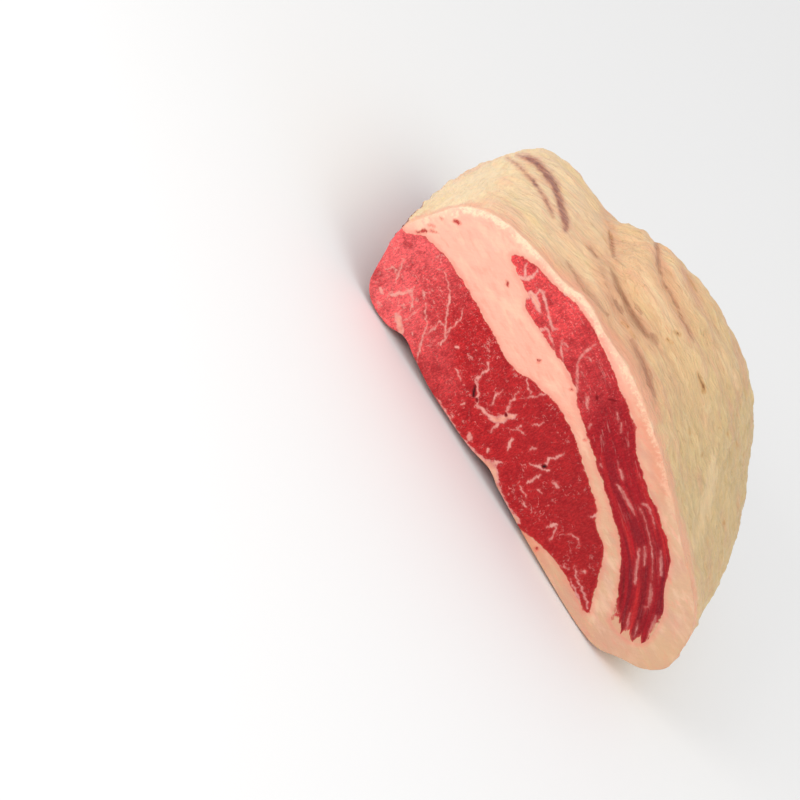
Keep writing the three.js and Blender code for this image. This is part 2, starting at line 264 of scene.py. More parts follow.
# The middle line of the point muscle: its streaks run along it.
POINT_MIDDLE = [(505, 235), (525, 275), (552, 310), (580, 350), (603, 400), (613, 440), (622, 480), (636, 520),
                (645, 560), (643, 600), (630, 645), (618, 680)]
# ---- marks on the skin of the cap, as the picture shows them: its own colours, painted shade in its folds and creases, and painted highlights on its ridges ----
CAP_STRIPS = {
    "broad strip": [(517, 155, 1.5), (528, 158, 3.6), (538, 164, 4.6), (547, 174, 5.0), (555, 186, 4.6),
                    (559, 198, 4.2), (562, 210, 4.4), (565, 220, 4.8), (566, 229, 3.6)],
    "thin strip": [(507, 158, .8), (516, 164, 1.8), (525, 172, 2.2), (533, 181, 2.6), (539, 190, 2.0),
                   (545, 198, 2.4), (549, 207, 2.6), (554, 217, 1.0)],
}
# The folds of the cap: their brown, with painted shade laid in them as well.
CAP_GROOVE_BROWN_AND_SHADE = {
    "bed of the long dent": [(606, 258, 2.0), (612, 272, 4.5), (618, 288, 6.0), (625, 302, 7.0), (633, 316, 8.0),
                             (640, 326, 8.0), (648, 339, 5.0), (656, 352, 1.5)],
    "shade beside it": [(590, 246, 3.0), (600, 264, 4.5), (606, 284, 5.0), (614, 302, 4.0), (626, 324, 4.0)],
    "rim shade": [(628, 338, 2.0), (636, 352, 4.5), (645, 372, 5.0), (653, 396, 4.0), (660, 420, 1.5)],
    "corner dent": [(604, 214, 2.0), (610, 228, 3.0), (614, 244, 3.0), (616, 262, 2.0)],
    "middle crease": [(657, 248, 1.0), (659, 262, 2.5), (664, 282, 2.5), (673, 300, 2.0), (684, 322, 2.5),
                      (692, 336, 1.0)],
    "far crease": [(682, 270, 1.0), (690, 286, 2.0), (699, 303, 1.0)],
}
# Thin brown lines in the creases of the cap, made darker as painted shade.
CAP_CREASE_LINES_AND_SHADE = {
    "edge crease": [(567, 262, .8), (574, 272, 1.6), (581, 284, 1.9), (588, 293, 1.5), (597, 303, 1.2), (607, 315, .8)],
    "notch crease": [(656, 243, 1.2), (657.5, 252, 1.2), (658, 264, 1.0), (662, 277, .8), (668, 290, .6)],
    "middle crease": [(668, 290, .6), (675, 303, 1.0), (682, 318, 1.2), (688, 330, 1.2), (694, 341, .6)],
    "near the rim": [(632, 340, .8), (640, 355, 1.3), (646, 370, 1.6), (650, 382, 1.7), (656, 395, 1.2)],
    "short dash": [(616, 301, 1.0), (620, 308, 1.4), (622, 311, .8)],
    "middle dash": [(635, 305, 1.2), (638, 309, 1.6), (641, 313, 1.2)],
    "far dash": [(653, 335, 1.2), (656, 340, 1.5), (658, 343, .9)],
    "top dash": [(588, 247, .8), (593, 252, 1.4), (597, 257, .8)],
    "top of the dent": [(609, 232, 1.0), (612, 244, 1.0), (614, 256, .8)],
    "long line": [(611, 270, .6), (617, 286, 1.2), (625, 300, 1.4), (634, 316, 1.8), (640, 326, 1.6), (647, 337, .8)],
}
# Painted highlights: pale colour laid where the ridges and swells of the cap catch the light.
CAP_PAINTED_HIGHLIGHTS = {
    "corner ridge": [(721, 352, .8), (727, 364, 1.6), (733, 376, 1.6), (738, 388, .6)],
    "between rim and dent": [(584, 268, 1.0), (596, 290, 3.0), (610, 314, 3.2), (626, 342, 2.0), (636, 362, .8)],
    "beyond the dent": [(640, 260, 1.0), (650, 284, 3.2), (664, 308, 3.6), (680, 336, 2.4), (692, 356, .8)],
    "under the notch": [(664, 250, .8), (674, 266, 2.4), (682, 282, 2.6), (690, 300, 1.0)],
    "low swell": [(716, 446, .5), (712, 476, 5.0), (704, 512, 5.0), (695, 548, 1.5)],
}
CAP_FLECKS = {
    "brown fleck": [(675, 332, 1.6), (680, 335, 1.5)],
    "lower brown fleck": [(667, 339, 1.3), (672, 343, 1.2)],
    "yellow-brown mark": [(697, 372, .8), (700, 378, 1.8), (703, 385, 1.8), (704, 392, 1.8)],
    "rim spot": [(651, 430, .6), (654, 437, 1.4)],
    "low dash": [(689, 428, .5), (690, 434, .8)],
    "low dot": [(702, 453, .6), (702, 456, .8)],
    "far dot": [(727, 433, .8), (728, 435, .8)],
    "far hair": [(736, 442, .5), (738, 446, .5)],
    "lower dot": [(724, 521, .5), (724, 524, .6)],
    "lowest dot": [(690, 564, .5), (691, 567, .6)],
    "red hair": [(622, 322, 1.0), (628, 327, 1.2)],
    "red hair below": [(630, 331, .9), (635, 338, 1.0)],
    "orange patch": [(687, 275, .1), (692, 283, .4), (697, 292, .1)],
    "top mark": [(609, 232, .4), (612, 238, .8)],
}


# ---- curves and fields, mm ----
def bump(x, middle, width):
    return np.exp(-((x - middle) / width) ** 2)


def plateau(x, middle, width):
    return np.exp(-((x - middle) / width) ** 4)


def smoothstep(x, low, high):
    share = np.clip((x - low) / (high - low), 0, 1)
    return share * share * (3 - 2 * share)


def closing(share, power):
    return (1 - np.minimum(1, share) ** power) ** (1 / power)


def smooth_curve(points, closed, pieces=12):
    """A smooth line through the points that keeps to them where they are close together."""
    known = np.array(points, float)
    if closed:
        known = np.vstack([known[-1], known, known[:2]])
    else:
        known = np.vstack([2 * known[0] - known[1], known, 2 * known[-1] - known[-2]])
    made = []
    for a, b, c, d in zip(known, known[1:], known[2:], known[3:]):
        knots = np.cumsum([0] + [max(np.linalg.norm(q - p), 1e-6) ** 0.5 for p, q in ((a, b), (b, c), (c, d))])
        t = np.linspace(knots[1], knots[2], pieces, endpoint=False)[:, None]

        def between(p, q, low, high):
            return (high - t) / (high - low) * p + (t - low) / (high - low) * q

        ab, bc, cd = (between(p, q, knots[i], knots[i + 1]) for i, (p, q) in enumerate(((a, b), (b, c), (c, d))))
        abc, bcd = between(ab, bc, knots[0], knots[2]), between(bc, cd, knots[1], knots[3])
        made.append(between(abc, bcd, knots[1], knots[2]))
    return np.vstack(made + ([] if closed else [known[-2][None]]))


def outline(points, count):
    """The smooth closed line through the points, as evenly spaced points that run anticlockwise."""
    line = smooth_curve(points, closed=True)
    line = np.vstack([line, line[0]])
    if np.sum(line[:-1, 0] * line[1:, 1] - line[1:, 0] * line[:-1, 1]) < 0:
        line = line[::-1]
    length = np.concatenate([[0], np.cumsum(np.linalg.norm(np.diff(line, axis=0), axis=1))])
    at = np.linspace(0, length[-1], count, endpoint=False)
    return np.stack([np.interp(at, length, line[:, 0]), np.interp(at, length, line[:, 1])], axis=1)


def inwards(line):
    """The direction into an anticlockwise closed line at each of its points."""
    along = np.roll(line, -1, axis=0) - np.roll(line, 1, axis=0)
    along /= np.linalg.norm(along, axis=1)[:, None]
    return np.stack([-along[:, 1], along[:, 0]], axis=1)


def relief(x, y):
    """Height of the lumps of the cap less the depth of its folds."""
    height = sum(high * bump(np.hypot(x - lx, y - ly), 0, wide) for lx, ly, high, wide in LUMPS)
    for fold in FOLDS:
        height = height - fold_depth(fold, x, y)
    return height


def fold_depth(fold, x, y):
    depth, width, path = FOLDS[fold]
    line = smooth_curve(path, closed=False, pieces=8)
    strength = np.sin(np.pi * (np.arange(len(line)) + 2) / (len(line) + 3)) ** 0.5
    deepest = np.zeros(np.shape(x))
    for (lx, ly), strong in zip(line, strength):
        deepest = np.maximum(deepest, strong * depth * bump(np.hypot(x - lx, y - ly), 0, width))
    return deepest


def place(x0, z0, share):
    """Takes points of the cut face back into the piece: share 0 is the cut face and 1 the far end."""
    raised = CAP_LIFT * np.where(x0 < 0, *(plateau(x0, 0, width) for width in LIFT_WIDTHS))
    squareness = sum((more * bump(x0, at, width) for more, at, width in SQUARE_ENDS), SQUARENESS)
    back = np.maximum(0, share)
    taper = closing(back, squareness)
    height = np.clip(z0 / CUT_HEIGHT, 0, 1)
    lift = height * raised * smoothstep(back, 0, LIFT_DONE)
    sag = (1 - height) * SAG * smoothstep(back, SAG_FROM, SAG_DONE)
    x = MIDDLE_X + (x0 - MIDDLE_X) * taper
    y = share * sum((extra * bump(x, at, width) for extra, at, width in DEPTH_EXTRAS), DEPTH)
    folded = height * relief(x, y) * smoothstep(y, FOLDS_FROM, FOLDS_FULL)
    z = MIDDLE_Z + (z0 + lift + folded - sag - MIDDLE_Z) * taper
    return np.stack([x, y, z], axis=-1)


def on_cut(px, py):
    """The (x, z) in mm on the cut face that shows at a pixel of the picture."""
    ray = -TO_CAMERA * FOCAL + RIGHT * (px - FRAME_PIXELS / 2) - UP * (py - FRAME_PIXELS / 2)
    hit = EYE + ray * ((CUT_PLANE - EYE.y) / ray.y)
    return hit.x / MM, hit.z / MM


def in_picture(x, y, z):
    """The pixels of the picture at which points show; x, y and z are in mm, y from the cut face."""
    away = np.stack([x * MM - EYE.x, y * MM + CUT_PLANE - EYE.y, z * MM - EYE.z])
    depth = -(np.array(TO_CAMERA) @ away)
    middle = FRAME_PIXELS / 2
    return middle + FOCAL * (np.array(RIGHT) @ away) / depth, middle - FOCAL * (np.array(UP) @ away) / depth


def strokes_on_cut(strokes):
    return [[(*on_cut(px, py), half * PIXEL) for px, py, half in line] for line in strokes.values()]


def inside_strokes(x, z, strokes, reach=FAR):
    """How far each point lies inside the nearest stroke, mm; below 0 outside, and -reach far away."""
    field = np.full(np.shape(x), -float(reach))
    for line in strokes:
        for (ax, az, ar), (bx, bz, br) in zip(line, line[1:]):
            length = max((bx - ax) ** 2 + (bz - az) ** 2, 1e-9)
            t = np.clip(((x - ax) * (bx - ax) + (z - az) * (bz - az)) / length, 0, 1)
            away = np.hypot(x - ax - t * (bx - ax), z - az - t * (bz - az))
            field = np.maximum(field, ar + (br - ar) * t - away)
    return field


def unsteady(x, z, high):
    """The points shifted up to high mm to and fro, so that the strokes drawn at them come out uneven."""
    along = 0.7 * np.sin(1.1 * z + 1.7 * np.sin(0.5 * x)) + 0.3 * np.sin(3.1 * z + 1.9 * x + 2)
    across = 0.7 * np.sin(1.2 * x + 1.6 * np.sin(0.6 * z) + 1) + 0.3 * np.sin(2.9 * x - 2.3 * z)
    return x + along * high, z + across * high


def distance_to(x, z, line):
    """Distance from each point to a closed line of evenly spaced points."""
    return -inside_strokes(x, z, [[(px, pz, 0) for px, pz in np.vstack([line, line[:1]])]], reach=1000)


# ---- meshes ----
def tube(rows):
    """A closed tube: a grid whose columns run round an outline and whose rows run back, closed at its ends.

    rows is an array of rows of points in mm.
    """
    count, around = rows.shape[:2]
    bm = bmesh.new()
    bmesh.ops.create_grid(bm, x_segments=around, y_segments=count - 1, size=1)
    for vert in bm.verts:
        column = round((vert.co.x + 1) / 2 * around) % around
        row = round((vert.co.y + 1) / 2 * (count - 1))
        vert.co = rows[row, column] * MM
        vert.co.y += CUT_PLANE
    bmesh.ops.remove_doubles(bm, verts=bm.verts, dist=1e-7)
    bmesh.ops.holes_fill(bm, edges=[edge for edge in bm.edges if edge.is_boundary], sides=0)
    bmesh.ops.recalc_face_normals(bm, faces=bm.faces)
    return bm


def body_rows(around, count):
    """The whole piece from its rounded rim back to its far end."""
    line = outline(CUT_OUTLINE, around)
    inward = inwards(line)
    rows = []
    for inset, back in RIM_ROWS:
        x, z = (line + inward * inset).T
        row = place(x, z, back / DEPTH)
        row[:, 1] = back
        rows.append(row)
    start = FIRST_ROW / DEPTH
    for turn in np.linspace(0, 1, count):
        share = start + (1 - start) * math.sin(turn * LAST_TURN * math.pi / 2)
        rows.append(place(line[:, 0], line[:, 1], share))
    return np.array(rows)


def muscle_rows(points, end):
    """A muscle's tube from in front of the cut face back to its blunt end."""
    line = outline(points, MUSCLE_AROUND)
    middle = line.mean(axis=0)
    start = MUSCLE_FRONT / DEPTH
    rows = []
    for turn in np.linspace(0, 1, MUSCLE_ROWS):
        share = start + (end - start) * math.sin(turn * math.pi / 2) ** MUSCLE_ROW_SPACING
        narrowing = max(BLUNTEST, closing(max(0, share / end), MUSCLE_SQUARENESS))
        x, z = (middle + (line - middle) * narrowing).T
        rows.append(place(x, z, share))
    return np.array(rows)


def ruffle(at, lengths, keep, shrink, layers, share):
    """Height of one kind of wrinkle at a point, about -share to share."""
    return share * noise.fractal(Vector([c / length for c, length in zip(at, lengths)]), keep, shrink, layers)


def wrinkle(bm, high):
    """Pushes the skin in and out in low wrinkles that run along the piece, and keeps the cut face flat.

    They grow in behind the rim and fade towards the plane that the piece lies on.
    """
    bm.normal_update()
    for vert in bm.verts:
        back = (vert.co.y - CUT_PLANE) / MM
        if back < FLAT_WITHIN:
            continue
        at = vert.co / MM
        direction = vert.normal.copy()
        direction.y *= min(1, back / 10)
        rise = sum(ruffle(at, *kind) for kind in WRINKLES) * high * min(1, 0.25 + back / 12)
        rise += ruffle(at, *NICKS) * high * max(0, 1 - back / NICKS_REACH)
        vert.co += direction * rise * MM * min(1, at.z / 4) * min(1, back / 1.2)
    for vert in bm.verts:
        vert.co.z = max(0, vert.co.z)


def to_object(bm, name):
    mesh = bpy.data.meshes.new(name)
    bm.to_mesh(mesh)
    bm.free()
    made = bpy.data.objects.new(name, mesh)
    bpy.context.scene.collection.objects.link(made)
    return made


SKIN, WALL = 0, 1  # material indices that mark the skin of the piece and the walls between its parts


def whole_body(name):
    sizes = bpy.context.scene.brisket_sizes
    bm = tube(body_rows(sizes.points_around, sizes.rows_back))
    wrinkle(bm, sizes.wrinkle_height / MM)
    return to_object(bm, name)


def muscle_tube(name, points, end):
    bm = tube(muscle_rows(points, end))
    for face in bm.faces:
        face.material_index = WALL
    return to_object(bm, name)


def with_cuts(body, cuts, operation):
    """The body's mesh after its boolean cuts, as a bmesh; the cutters and the body object are taken away."""
    for mesh in [body.data] + [cutter.data for cutter in cuts]:
        mesh.materials.append(None)
        mesh.materials.append(None)
    for cutter in cuts:
        modifier = body.modifiers.new("cut", "BOOLEAN")
        modifier.operation = operation
        modifier.solver = "MANIFOLD"
        modifier.object = cutter
    bpy.context.view_layer.update()
    evaluated = body.evaluated_get(bpy.context.evaluated_depsgraph_get())
    bm = bmesh.new()
    bm.from_mesh(evaluated.to_mesh())
    evaluated.to_mesh_clear()
    for gone in [body, *cuts]:
        mesh = gone.data
        bpy.data.objects.remove(gone)
        bpy.data.meshes.remove(mesh)
    return bm


def slice_front(bm, step):
    """Slices the flat cut face into a fine grid, so that its points can hold the pattern of the meat."""
    bm.normal_update()
    bm.faces.index_update()
    front = [face for face in bm.faces
             if face.material_index == SKIN and face.normal.y < -0.999
             and all(vert.co.y < CUT_PLANE + FLAT_WITHIN * MM for vert in face.verts)]
    chosen = {face.index for face in front}
    grid = bm.copy()
    bmesh.ops.delete(grid, geom=[face for face in grid.faces if face.index not in chosen], context="FACES")
    bmesh.ops.delete(bm, geom=front, context="FACES")
    faces, planes = list(grid.faces), []
    for axis in (Vector((1, 0, 0)), Vector((0, 0, 1))):
        rest, done = faces, []
        at = min(vert.co @ axis for face in faces for vert in face.verts) + step * GRID_START
        while rest:
            geom = set(rest)
            for face in rest:
                geom.update(face.edges)
                geom.update(face.verts)
            cut = bmesh.ops.bisect_plane(grid, geom=list(geom), dist=1e-8, plane_co=axis * at, plane_no=axis)
            rest = []
            for face in cut["geom"]:
                if isinstance(face, bmesh.types.BMFace):
                    (rest if face.calc_center_median() @ axis > at else done).append(face)
            planes.append((axis, at))
            at += step
        faces = done
    # The walls round the opening get the same points along their edges before the grid closes it.
    for edge in [edge for edge in bm.edges if edge.is_boundary]:
        start, end = edge.verts
        a, b = start.co.copy(), end.co.copy()
        shares = sorted((at - a @ axis) / ((b - a) @ axis) for axis, at in planes
                        if min(a @ axis, b @ axis) < at < max(a @ axis, b @ axis))
        passed = 0.0
        for share in shares:
            edge, start = bmesh.utils.edge_split(edge, start, (share - passed) / (1 - passed))
            edge = next(e for e in start.link_edges if e.other_vert(start) is end)
            passed = share
    mesh = bpy.data.meshes.new("cut_face")
    grid.to_mesh(mesh)
    grid.free()
    bm.from_mesh(mesh)
    bpy.data.meshes.remove(mesh)
    rim = [vert for vert in bm.verts if vert.is_boundary]
    bmesh.ops.remove_doubles(bm, verts=rim, dist=5e-7)


def seam_distance(bm, mesh_points):
    """Distance in mm from each point to the nearest line where the skin meets a wall between two parts."""
    spots = []
    for edge in bm.edges:
        kinds = {face.material_index for face in edge.link_faces}
        if kinds == {SKIN, WALL}:
            a, b = (vert.co for vert in edge.verts)
            pieces = max(1, int((b - a).length / SEAM_STEP))
            spots += [a.lerp(b, i / pieces) for i in range(pieces)]
    tree = KDTree(len(spots))
    for i, spot in enumerate(spots):
        tree.insert(spot, i)
    tree.balance()
    return np.array([tree.find(point)[2] / MM for point in mesh_points])


def add_field(mesh, name, values):
    layer = mesh.attributes.new(name, "FLOAT", "POINT")
    layer.data.foreach_set("value", np.asarray(values, dtype=np.float32))


def piece_from(bm, name, node, material, fields):
    """Makes the finished piece.

    fields(x, y, z, facing) gives the named values at its points, in mm from the cut face; facing is how far
    the surface faces the camera, from -1 to 1.
    """
    bmesh.ops.dissolve_degenerate(bm, dist=1e-8, edges=bm.edges)
    bm.normal_update()
    points = [vert.co.copy() for vert in bm.verts]
    facing = np.array([vert.normal.dot(TO_CAMERA) for vert in bm.verts])
    seam = seam_distance(bm, points)
    for face in bm.faces:
        face.smooth = True
        face.material_index = 0
    mesh = bpy.data.meshes.new(name)
    bm.to_mesh(mesh)
    bm.free()
    x, y, z = (np.array(points) / MM).T
    y = y - CUT_PLANE / MM
    add_field(mesh, "seam", seam)
    for field, values in fields(x, y, z, facing).items():
        add_field(mesh, field, values)
    mesh.set_sharp_from_angle(angle=SHARP_ANGLE)
    mesh.materials.clear()
    mesh.materials.append(material)
    made = bpy.data.objects.new(name, mesh)
    bpy.context.scene.collection.objects.link(made)
    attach(made, "root")
    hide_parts(node)


# ---- materials ----
def tint(red, green, blue):
    """A colour as it is read off a screen, 0 to 255, as the linear colour of a shader."""
    return tuple(
        c / 12.92 if c <= 0.04045 else ((c + 0.055) / 1.055) ** 2.4
        for c in (red / 255, green / 255, blue / 255)) + (1.0,)


class Value:
    """One value in a material; the operators add Math nodes to it."""

    def __init__(self, paint, socket):
        self.paint = paint
        self.socket = socket

    def __add__(self, other):
        return self.paint.math("ADD", self, other)

    def __sub__(self, other):
        return self.paint.math("SUBTRACT", self, other)

    def __rsub__(self, other):
        return self.paint.math("SUBTRACT", other, self)

    def __mul__(self, other):
        return self.paint.math("MULTIPLY", self, other)

    def __truediv__(self, other):
        return self.paint.math("DIVIDE", self, other)

    __radd__ = __add__
    __rmul__ = __mul__


class Paint:
    """Builds the nodes of one material."""

    def __init__(self, name):
        self.material = bpy.data.materials.new(name)
        self.material.use_nodes = True
        self.tree = self.material.node_tree
        self.tree.nodes.clear()
        self.shader = self.tree.nodes.new("ShaderNodeBsdfPrincipled")
        output = self.tree.nodes.new("ShaderNodeOutputMaterial")
        self.tree.links.new(self.shader.outputs[0], output.inputs["Surface"])
        place_here = self.node("ShaderNodeTexCoord", output="Object")
        self.mm = self.vector("MULTIPLY", place_here, (1 / MM, 1 / MM, 1 / MM))
        self.xyz = self.node("ShaderNodeSeparateXYZ", inputs={0: self.mm}, output=None)

    def feed(self, socket, value):
        if isinstance(value, Value):
            self.tree.links.new(value.socket, socket)
        else:
            socket.default_value = value

    def node(self, kind, settings=None, inputs=None, output=0):
        made = self.tree.nodes.new(kind)
        for key, value in (settings or {}).items():
            if key == "stops":
                ramp = made.color_ramp
                ramp.elements.remove(ramp.elements[1])
                for i, (at, colour) in enumerate(value):
                    stop = ramp.elements[0] if i == 0 else ramp.elements.new(at)
                    stop.position = at
                    stop.color = colour
            else:
                setattr(made, key, value)
        for key, value in (inputs or {}).items():
            self.feed(made.inputs[key], value)
        return made if output is None else Value(self, made.outputs[output])

    def math(self, operation, first, second=0.0):
        return self.node("ShaderNodeMath", {"operation": operation}, {0: first, 1: second})

    def vector(self, operation, first, second):
        return self.node("ShaderNodeVectorMath", {"operation": operation}, {0: first, 1: second})

    def axis(self, letter):
        return Value(self, self.xyz.outputs[letter])

    def end_to_end(self):
        """0 at the thick end and 1 at the narrow end."""
        return (self.axis("X") - THICK_END) / (NARROW_END - THICK_END)

    def field(self, name):
        return self.node("ShaderNodeAttribute", {"attribute_name": name}, output="Fac")

    def step(self, value, low, high):
        """0 below low and 1 above high, smooth between; low may be above high."""
        return self.node(
            "ShaderNodeMapRange", {"interpolation_type": "SMOOTHSTEP"},
            {"Value": value, "From Min": low, "From Max": high, "To Min": 0.0, "To Max": 1.0})

    def noise(self, size, detail=2.0, rough=0.5, vector=None, offset=(0, 0, 0), distortion=0.0):
        """Noise of about 0 to 1 whose lumps are size mm across; size may differ along x, y and z."""
        sizes = size if isinstance(size, tuple) else (size, size, size)
        start = self.vector("MULTIPLY", vector or self.mm, tuple(1 / s for s in sizes))
        start = self.vector("ADD", start, offset)
        return self.node(
            "ShaderNodeTexNoise", {"noise_dimensions": "3D"},
            {"Vector": start, "Scale": 1.0, "Detail": detail, "Roughness": rough, "Distortion": distortion})

    def mix(self, factor, first, second, blend="MIX"):
        return self.node(
            "ShaderNodeMix", {"data_type": "RGBA", "blend_type": blend, "clamp_factor": True},
            {0: factor, 6: first, 7: second}, output=2)

    def lay(self, colour, *coats):
        """A colour with coats laid over it one after the other, each (amount, colour of the coat)."""
        for amount, over in coats:
            colour = self.mix(amount, colour, over)
        return colour

    def ramp(self, factor, stops):
        return self.node("ShaderNodeValToRGB", {"stops": stops}, {"Fac": factor})

    def border(self):
        """How far the visible edge between lean and fat strays from the seam, mm; the same in every material."""
        fine = self.noise(2.4, detail=3, rough=0.6, offset=(3, 5, 8)) - 0.5
        broad = self.noise(7.0, detail=2, offset=(9, 2, 4)) - 0.5
        return fine * 2.2 + broad * 3.6

    def stray(self):
        """How far the edge between lean and fat strays on the skin, mm; the same in every material."""
        slow = self.noise((34, 30, 20), detail=3, rough=0.6, offset=(2, 4, 9)) - 0.5
        return slow * 34 + (self.noise(6, detail=3, rough=0.6, offset=(1, 1, 4)) - 0.5) * 9

    def along_skin(self, size, vector=None, **settings):
        """Noise drawn out along the piece, and across it where its ends turn down."""
        x = self.axis("X")
        ends = self.step(x, 114, 136) + self.step(x, -122, -142)
        along = self.noise(size, vector=vector, **settings)
        across = self.noise((size[1], size[0], size[2]), vector=vector, **settings)
        return along + (across - along) * ends

    def darken(self, colour, amount):
        """Multiplies a colour by a grey value."""
        grey = self.node("ShaderNodeCombineXYZ", inputs={0: amount, 1: amount, 2: amount})
        return self.mix(1.0, colour, grey, "MULTIPLY")

    def finish(self, colour, roughness, height, gloss=0.5, coat=0.0, scatter=0.0, scatter_mm=1.0):
        """Joins the values to the shader: the height is in mm, and scatter_mm is how far light goes in."""
        shader = self.shader
        self.feed(shader.inputs["Base Color"], colour)
        self.feed(shader.inputs["Roughness"], roughness)
        bumped = self.node(
            "ShaderNodeBump", inputs={"Strength": 1.0, "Distance": MM, "Height": height}, output="Normal")
        self.feed(shader.inputs["Normal"], bumped)
        shader.inputs["Specular IOR Level"].default_value = gloss
        shader.inputs["Coat Weight"].default_value = coat
        shader.inputs["Coat Roughness"].default_value = 0.25
        shader.inputs["Subsurface Weight"].default_value = scatter
        shader.inputs["Subsurface Radius"].default_value = (1.0, 0.35, 0.25)
        shader.inputs["Subsurface Scale"].default_value = scatter_mm * MM
        return self.material


def lean_material(name, reds, pale_until, fats, streaky):
    """Raw muscle: fine grain, wisps of fat, veins and vessels on the cut, a thin membrane elsewhere.

    reds is (pale end, middle, dark end) of the cut face; it stays pale up to pale_until of its length.
    fats is the colour of the cut fat beside it, (middle, narrow end).
    """
    paint = Paint(name)
    y, z = paint.axis("Y"), paint.axis("Z")
    behind = y - CUT_PLANE / MM
    cut = paint.step(behind, 1.6, 0.7)
    if streaky:
        along, across = paint.field("along"), paint.field("across")
        flow = paint.node("ShaderNodeCombineXYZ", inputs={0: along, 1: across, 2: y})
    else:
        flow = paint.mm

    pale, middle, dark = reds
    drift = paint.noise(38, detail=2, offset=(3, 1, 7)) - 0.5
    end_to_end = paint.end_to_end() + drift * 0.16
    fat_colour = paint.mix(paint.step(end_to_end, 0.38, 0.7), fats[0], fats[1])
    deepening = end_to_end if streaky else end_to_end + paint.step(z, 16, 42) * 0.13  # deeper beside the seam
    # The red runs from pale at the thick end to dark at the narrow end: partly the meat's own colour, partly painted
    # light that falls off along the cut.
    red = paint.ramp(deepening, [(0.0, pale), (pale_until, pale), (pale_until + 0.2, middle), (1.0, dark)])
    blotches = paint.noise(7, detail=5, rough=0.66, offset=(11, 5, 2))
    red = paint.lay(
        paint.darken(red, 0.76 + blotches * 0.48),
        (paint.step(blotches, 0.52, 0.34) * 0.5, tint(172, 10, 26)))
    coarse = paint.step(end_to_end, 0.75, 0.15) * 0.35 + 0.65  # the grain is coarser at the thick end

    fine_grain = paint.noise(0.8, detail=3, rough=0.75, offset=(2, 8, 1))
    fibres = paint.noise((1.0, 1.0, 2.2), detail=3, rough=0.7, distortion=0.15, offset=(3, 3, 1))
    ends = paint.step(fibres, 0.4, 0.66)
    grain = 0.76 + ends * 0.42 + (fine_grain - 0.5) * 1.25
    glints = paint.step(paint.noise(1.05, detail=2, offset=(5, 1, 9)) + (blotches - 0.5) * 0.3, 0.6, 0.74)

    if streaky:
        narrow = paint.step(along, 125, 195)
        streaks = paint.noise((46, 2.3, 46), detail=4, rough=0.6, vector=flow)
        fine_streaks = paint.noise((22, 0.75, 22), detail=3, rough=0.6, vector=flow, offset=(5, 0, 0))
        red = paint.darken(
            red, 1 + (streaks - 0.5) * (0.5 + narrow * 1.3) + (fine_streaks - 0.5) * (0.2 + narrow * 0.5))
        bright = paint.step(paint.noise((60, 4.4, 60), detail=3, rough=0.5, vector=flow, offset=(2, 7, 3)), 0.52, 0.66)
        deep = paint.step(paint.noise((70, 4.0, 70), detail=3, rough=0.5, vector=flow, offset=(0, 9, 4)), 0.52, 0.64)
        red = paint.lay(
            red,
            (bright * (0.15 + narrow * 0.5), tint(218, 40, 42)),
            (deep * (0.2 + narrow * 0.5), tint(126, 4, 26)))
        grain = grain * (1 - narrow * 0.6) + narrow * 0.6
        glints = glints * (1 - narrow * 0.9)
    red = paint.lay(
        paint.darken(red, (grain - 1) * coarse + 1),
        (ends * 0.05, tint(232, 104, 98)),
        (glints * paint.step(end_to_end, pale_until + 0.28, pale_until) * 0.6, tint(255, 158, 150)))

    # Small flecks and thin wisps of fat, more in some places than in others.
    crowd = paint.noise(22, detail=2, offset=(7, 7, 3))
    line = paint.noise(
        (30, 2.6, 30) if streaky else 5.5, detail=3, rough=0.6, vector=flow, offset=(21, 2, 9), distortion=0.6)
    kept = paint.noise((9, 4, 9) if streaky else 3.6, detail=2, rough=0.6, vector=flow, offset=(4, 4, 4))
    wisp = paint.step(paint.math("ABSOLUTE", line - 0.5) - (crowd - 0.5) * 0.09, 0.028, 0.0)
    wisp = wisp * paint.step(kept, 0.5, 0.66)
    crumbs = paint.noise((5, 1.5, 5) if streaky else 1.9, detail=3, rough=0.65, vector=flow, offset=(6, 2, 2))
    crumb = paint.step(crumbs + (crowd - 0.5) * 0.3, 0.66, 0.76)
    marbling = paint.math("MAXIMUM", crumb * 0.5, wisp * 0.55) * (0.45 + coarse * 0.55)
    if streaky:
        marbling = marbling * (0.7 - narrow * 0.5)

    jitter = paint.noise(1.3, detail=3, rough=0.75, offset=(9, 3, 3)) - 0.5
    slow_jitter = paint.noise(4.0, detail=2, rough=0.6, offset=(2, 9, 3)) - 0.5
    vein_depth = paint.field("vein") + jitter * 1.5 + slow_jitter * 0.9
    vein = paint.step(vein_depth, -0.5, 0.6)
    seam_depth = paint.field("seam") - paint.border()
    if streaky:
        tip = paint.step(along, 232, 262)
        fingers = paint.noise((70, 3.2, 70), detail=3, rough=0.55, vector=flow, offset=(8, 3, 1)) - 0.43
        seam_depth = seam_depth - tip * (0.6 + fingers * 34)
    seam = paint.step(seam_depth, 0.45, -0.25)
    pink_fat = paint.mix(end_to_end, tint(252, 176, 164), tint(222, 150, 144))
    white = paint.mix(paint.step(vein_depth, 0.4, 1.6), pink_fat, fat_colour)
    strength = 0.82 + slow_jitter * 1.3
    if streaky:
        strength = 0.3 + paint.step(fine_streaks, 0.36, 0.6) * 0.3 + slow_jitter + paint.step(along, 90, 40) * 0.4
    hole = paint.field("hole") + (paint.noise(1.0, detail=1) - 0.5) * 0.5
    lean = paint.lay(
        red,
        (paint.step(vein_depth, -2.0, 0.3) * 0.22, tint(232, 92, 88)),
        (paint.step(seam_depth, 1.8, 0.0) * 0.25, tint(232, 84, 76)),
        (marbling, pink_fat),
        (vein * strength, white),
        (paint.step(hole, -0.7, 0.15), tint(150, 10, 22)),
        (paint.step(hole, 0.2, 0.7), tint(24, 2, 6)))
    if streaky:
        lean = paint.lay(lean, (paint.step(seam_depth, 4.0, 0.0) * tip * 0.6, tint(226, 96, 88)))
        fat_colour = paint.lay(fat_colour, (tip * 0.3, tint(238, 142, 122)))
    lean = paint.lay(lean, (seam, fat_colour))

